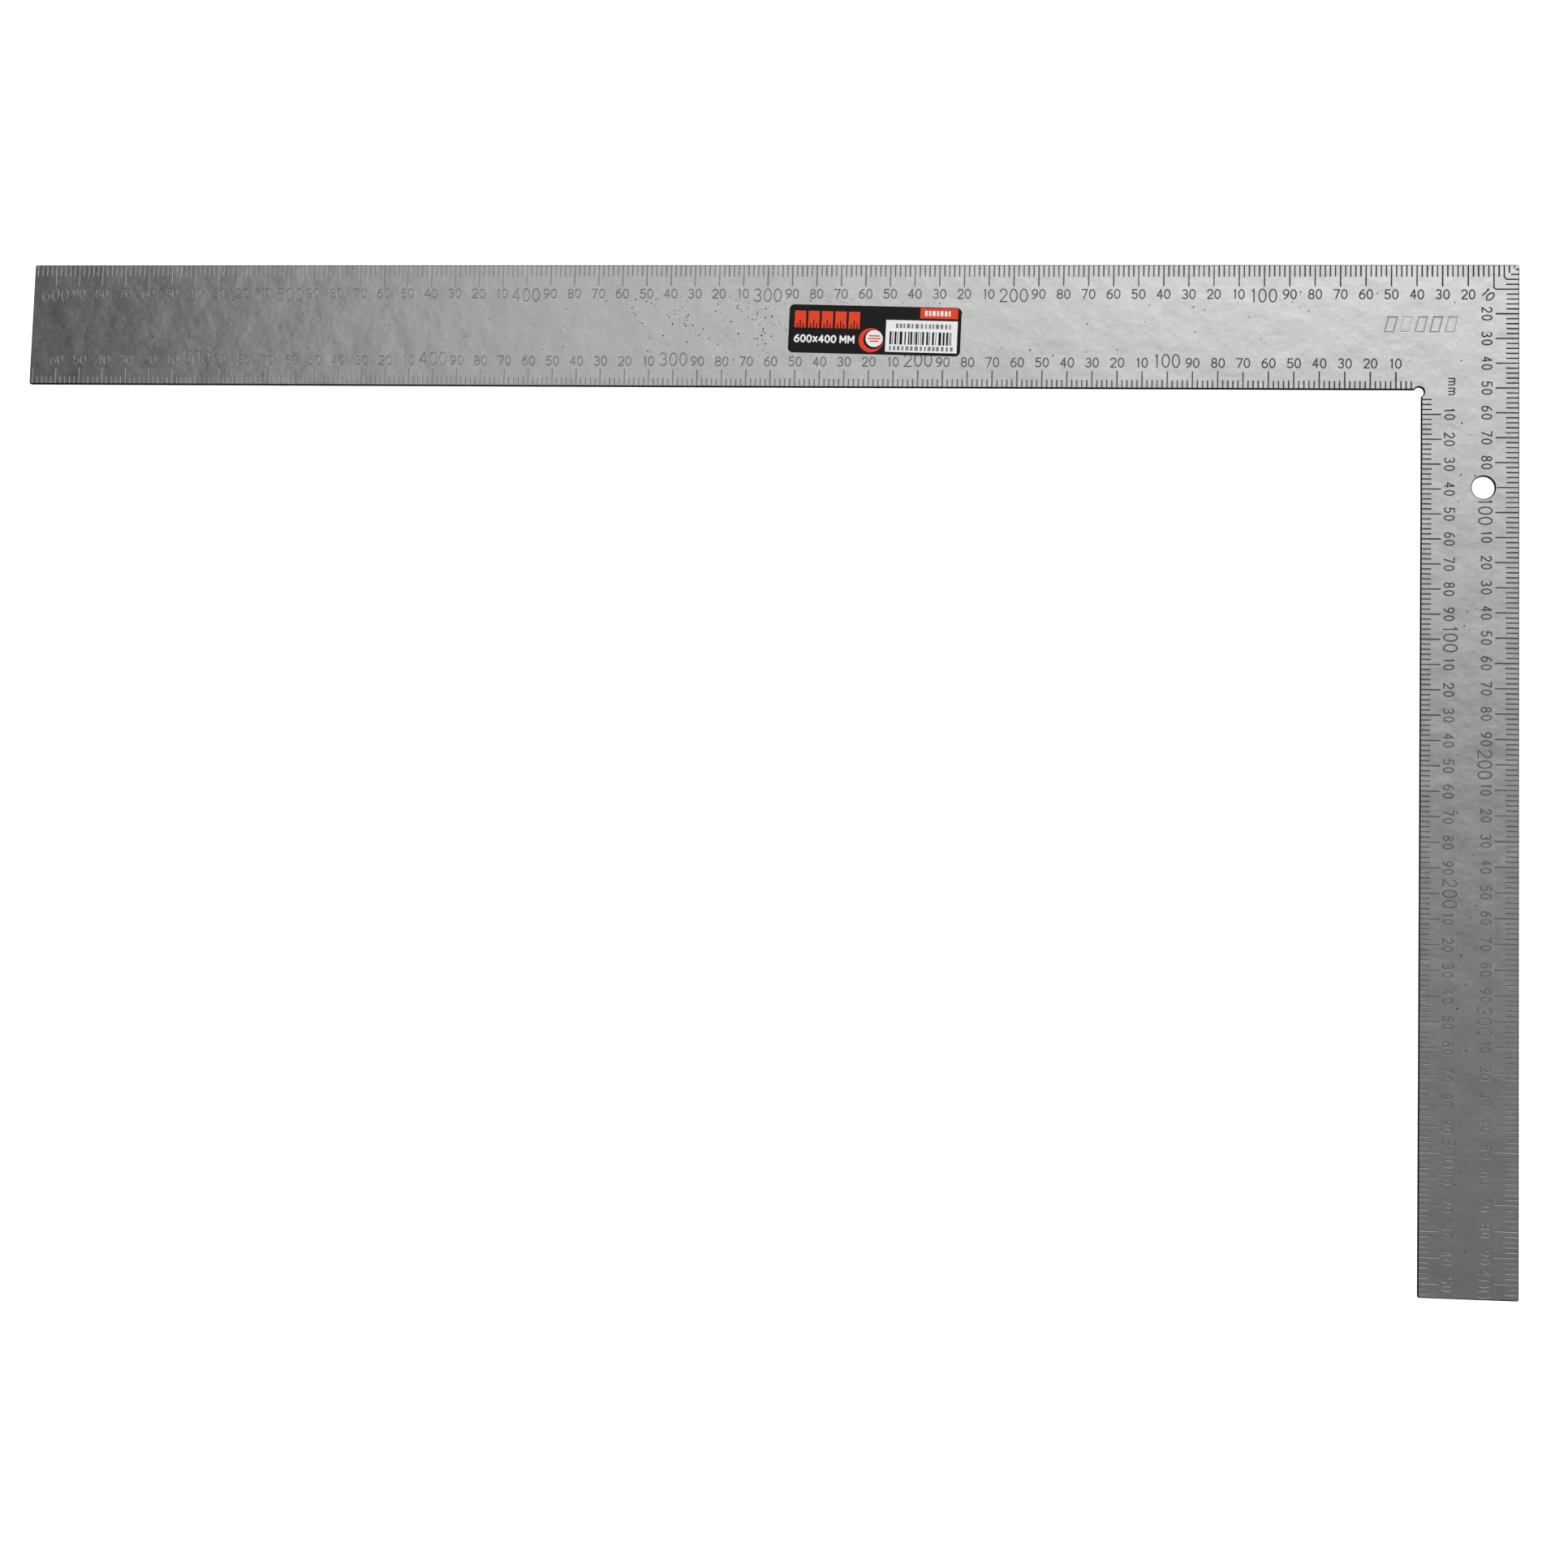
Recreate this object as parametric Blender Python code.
"""A stamped steel square for marking out: one flat L-shaped blank with a long blade and a short
tongue, a millimetre scale along each of its four long edges, a relief notch in the inside
corner, a hanging hole in the tongue, and a printed self-adhesive label on the blade.

Metres, +Z up. The square lies flat with its marked face up and its back face on z = 0. The
blade runs along X with the heel, the outer corner, at +X +Y, and the tongue runs towards -Y.
The origin is under the middle of the box that holds the square.
"""

import math

import bmesh
import bpy
from mathutils import Matrix, Vector

# The blank
BLADE_LENGTH = 0.6096  # outer edge, from the heel
BLADE_WIDTH = 0.0508
TONGUE_LENGTH = 0.4064  # outer edge, from the heel
TONGUE_WIDTH = 0.0381
THICKNESS = 0.0020
HEEL_RADIUS = 0.0013
END_RADIUS = 0.0007  # the corners at the two free ends
EDGE_CHAMFER = 0.00015  # deburred edge round both faces

# Relief notch punched in the inside corner
RELIEF_RADIUS = 0.0020
RELIEF_SETBACK = 0.0009  # from each inside edge to the punch's centre, on the open side

# Hanging hole in the tongue
HOLE_RADIUS = 0.0045
HOLE_FROM_BLADE_EDGE = 0.0900
HOLE_FROM_TONGUE_EDGE = 0.0139

# Main graduations of the four scales; the outside scales start at the heel, the inside
# scales at the inside corner
GRADUATION_PITCH = 0.0100
GROOVE_WIDTH = 0.0005
GROOVE_DEPTH = 0.0002
BLADE_OUTER_MARK = 0.0089
BLADE_INNER_MARK = 0.0071
TONGUE_OUTER_MARK = 0.0094
TONGUE_INNER_MARK = 0.0078
LAST_MARK_MARGIN = 0.0010  # least distance from the last graduation to the end of its edge
MARK_TO_HOLE = 0.0003  # metal left between a graduation and the hanging hole's chamfer

# Label
LABEL_LENGTH = 0.0700
LABEL_WIDTH = 0.0200
LABEL_THICKNESS = 0.00015
LABEL_RADIUS = 0.0020
LABEL_FROM_HEEL = 0.2560  # along the blade, to the label's centre
LABEL_OFFSET = 0.0018  # from the blade's centre line, towards the inside edge
LABEL_TILT = math.radians(-1.3)
SEATING_GAP = 0.0003

# How far a cutter runs past what it cuts
CUT_MARGIN = 0.0010
# Facets
CORNER_STEPS = 6
RELIEF_STEPS = 28
HOLE_SEGMENTS = 64

HEEL = Vector((BLADE_LENGTH / 2, TONGUE_LENGTH / 2))
INSIDE_CORNER = HEEL - Vector((TONGUE_WIDTH, BLADE_WIDTH))
LEFT = Vector((-1, 0))
DOWN = Vector((0, -1))


def clear_scene():
    for item in list(bpy.data.objects):
        bpy.data.objects.remove(item)


def material(name, colour, roughness, metallic):
    made = bpy.data.materials.new(name)
    made.use_nodes = True
    shader = made.node_tree.nodes["Principled BSDF"]
    shader.inputs["Base Color"].default_value = (*colour, 1)
    shader.inputs["Roughness"].default_value = roughness
    shader.inputs["Metallic"].default_value = metallic
    return made


def object_of(name, mesh_builder, surface=None):
    """A new object from a bmesh, which is freed."""
    mesh = bpy.data.meshes.new(name)
    mesh_builder.to_mesh(mesh)
    mesh_builder.free()
    made = bpy.data.objects.new(name, mesh)
    bpy.context.scene.collection.objects.link(made)
    if surface:
        mesh.materials.append(surface)
    return made


def arc(centre, start, sweep, steps):
    """Points that turn start about centre through sweep radians, both ends included."""
    arm = start - centre
    return [centre + Matrix.Rotation(sweep * i / steps, 2) @ arm for i in range(steps + 1)]


def rounded_corner(before, corner, after, radius):
    """The arc that rounds one corner of an outline which runs anticlockwise."""
    back = (before - corner).normalized()
    ahead = (after - corner).normalized()
    half = back.angle(ahead) / 2
    centre = corner + (back + ahead).normalized() * radius / math.sin(half)
    start = corner + back * radius / math.tan(half)
    return arc(centre, start, math.pi - 2 * half, CORNER_STEPS)


def relief_arc():
    """The notch's wall, from the blade's inside edge round to the tongue's inside edge."""
    centre = INSIDE_CORNER - Vector((RELIEF_SETBACK, RELIEF_SETBACK))
    reach = math.sqrt(RELIEF_RADIUS**2 - RELIEF_SETBACK**2)
    start = centre + Vector((-reach, RELIEF_SETBACK))
    overlap = math.asin(RELIEF_SETBACK / RELIEF_RADIUS)
    return arc(centre, start, -(math.pi / 2 + 2 * (math.pi / 2 - overlap)), RELIEF_STEPS)


def blank_outline():
    """The L, anticlockwise from above."""
    blade_end = HEEL + LEFT * BLADE_LENGTH
    tongue_end = HEEL + DOWN * TONGUE_LENGTH
    blade_end_inner = blade_end + DOWN * BLADE_WIDTH
    tongue_end_inner = tongue_end + LEFT * TONGUE_WIDTH
    return [
        *rounded_corner(tongue_end, HEEL, blade_end, HEEL_RADIUS),
        *rounded_corner(HEEL, blade_end, blade_end_inner, END_RADIUS),
        *rounded_corner(blade_end, blade_end_inner, INSIDE_CORNER, END_RADIUS),
        *relief_arc(),
        *rounded_corner(INSIDE_CORNER, tongue_end_inner, tongue_end, END_RADIUS),
        *rounded_corner(tongue_end_inner, tongue_end, HEEL, END_RADIUS),
    ]


def plate(outline, bottom, top):
    """A bmesh of an outline extruded from bottom to top."""
    bm = bmesh.new()
    base = bm.faces.new([bm.verts.new((*point, bottom)) for point in outline])
    raised = bmesh.ops.extrude_face_region(bm, geom=[base])["geom"]
    lifted = [item for item in raised if isinstance(item, bmesh.types.BMVert)]
    bmesh.ops.translate(bm, verts=lifted, vec=(0, 0, top - bottom))
    bmesh.ops.recalc_face_normals(bm, faces=bm.faces[:])
    return bm


def chamfer_faces(item):
    """Chamfers the edges round both faces, and leaves the small facets of the arcs alone."""
    bevel = item.modifiers.new("deburr", "BEVEL")
    bevel.width = EDGE_CHAMFER
    bevel.segments = 1
    bevel.limit_method = "ANGLE"
    bevel.angle_limit = math.radians(40)


def cutter(name, mesh_builder):
    made = object_of(name, mesh_builder)
    made.hide_render = True
    made.display_type = "WIRE"
    return made


def cut(item, tool):
    boolean = item.modifiers.new(tool.name, "BOOLEAN")
    boolean.operation = "DIFFERENCE"
    boolean.object = tool


def hole_cutter():
    """A turned punch that also leaves a chamfer at both mouths of the hole."""
    flare = EDGE_CHAMFER + CUT_MARGIN
    profile = [
        (0, -CUT_MARGIN),
        (HOLE_RADIUS + flare, -CUT_MARGIN),
        (HOLE_RADIUS, EDGE_CHAMFER),
        (HOLE_RADIUS, THICKNESS - EDGE_CHAMFER),
        (HOLE_RADIUS + flare, THICKNESS + CUT_MARGIN),
        (0, THICKNESS + CUT_MARGIN),
    ]
    bm = bmesh.new()
    points = [bm.verts.new((radius, 0, height)) for radius, height in profile]
    edges = [bm.edges.new(pair) for pair in zip(points, points[1:])]
    bmesh.ops.spin(
        bm,
        geom=points + edges,
        axis=(0, 0, 1),
        cent=(0, 0, 0),
        angle=2 * math.pi,
        steps=HOLE_SEGMENTS,
        use_merge=True,
    )
    bmesh.ops.remove_doubles(bm, verts=bm.verts[:], dist=1e-6)
    bmesh.ops.recalc_face_normals(bm, faces=bm.faces[:])
    tool = cutter("hanging_hole_punch", bm)
    tool.location = hole_centre().to_3d()
    return tool


def hole_centre():
    return HEEL + LEFT * HOLE_FROM_TONGUE_EDGE + DOWN * HOLE_FROM_BLADE_EDGE


def add_groove(bm, on_edge, inwards, length):
    """A V-shaped wedge lying in the marked face, from just outside an edge inwards."""
    start = on_edge - inwards * CUT_MARGIN
    end = on_edge + inwards * length
    spread = GROOVE_WIDTH / 2 * (GROOVE_DEPTH + CUT_MARGIN) / GROOVE_DEPTH
    side = Vector((-inwards.y, inwards.x)) * spread
    root = THICKNESS - GROOVE_DEPTH
    top = THICKNESS + CUT_MARGIN
    near = [bm.verts.new((*(start + side), top)), bm.verts.new((*start, root))]
    near.append(bm.verts.new((*(start - side), top)))
    far = [bm.verts.new((*(end + side), top)), bm.verts.new((*end, root))]
    far.append(bm.verts.new((*(end - side), top)))
    bm.faces.new(near)
    bm.faces.new(far)
    for i in range(3):
        j = (i + 1) % 3
        bm.faces.new((near[i], near[j], far[j], far[i]))


def add_scale(bm, zero, along, edge_length, inwards, length):
    """The main graduations of one scale, from its zero along one edge."""
    centre = hole_centre()
    clear = HOLE_RADIUS + EDGE_CHAMFER + MARK_TO_HOLE
    for i in range(1, int((edge_length - LAST_MARK_MARGIN) / GRADUATION_PITCH) + 1):
        on_edge = zero + along * GRADUATION_PITCH * i
        to_hole = centre - on_edge
        mark = length
        if abs(to_hole.dot(along)) < clear:
            mark = min(length, to_hole.dot(inwards) - clear)
        add_groove(bm, on_edge, inwards, mark)


def graduation_cutter():
    bm = bmesh.new()
    inner_blade = BLADE_LENGTH - TONGUE_WIDTH
    inner_tongue = TONGUE_LENGTH - BLADE_WIDTH
    add_scale(bm, HEEL, LEFT, BLADE_LENGTH, DOWN, BLADE_OUTER_MARK)
    add_scale(bm, HEEL, DOWN, TONGUE_LENGTH, LEFT, TONGUE_OUTER_MARK)
    add_scale(bm, INSIDE_CORNER, LEFT, inner_blade, -DOWN, BLADE_INNER_MARK)
    add_scale(bm, INSIDE_CORNER, DOWN, inner_tongue, -LEFT, TONGUE_INNER_MARK)
    bmesh.ops.recalc_face_normals(bm, faces=bm.faces[:])
    return cutter("graduation_stamp", bm)


def build_steel_square():
    steel = material("steel", (0.58, 0.57, 0.55), 0.38, 1.0)
    square = object_of("steel_square", plate(blank_outline(), 0, THICKNESS), steel)
    chamfer_faces(square)
    cut(square, hole_cutter())
    cut(square, graduation_cutter())


def build_label():
    """Centred on its own origin, so that the tilt turns it in place."""
    half = Vector((LABEL_LENGTH / 2, LABEL_WIDTH / 2))
    corners = [Vector((half.x * sx, half.y * sy)) for sx, sy in ((1, 1), (-1, 1), (-1, -1), (1, -1))]
    outline = []
    for i, corner in enumerate(corners):
        outline += rounded_corner(corners[i - 1], corner, corners[(i + 1) % 4], LABEL_RADIUS)
    vinyl = material("printed_vinyl", (0.012, 0.012, 0.013), 0.42, 0.0)
    label = object_of("label", plate(outline, 0, LABEL_THICKNESS), vinyl)
    place = HEEL + LEFT * LABEL_FROM_HEEL + DOWN * (BLADE_WIDTH / 2 + LABEL_OFFSET)
    label.location = (*place, THICKNESS + SEATING_GAP)
    label.rotation_euler = (0, 0, LABEL_TILT)


clear_scene()
build_steel_square()
build_label()
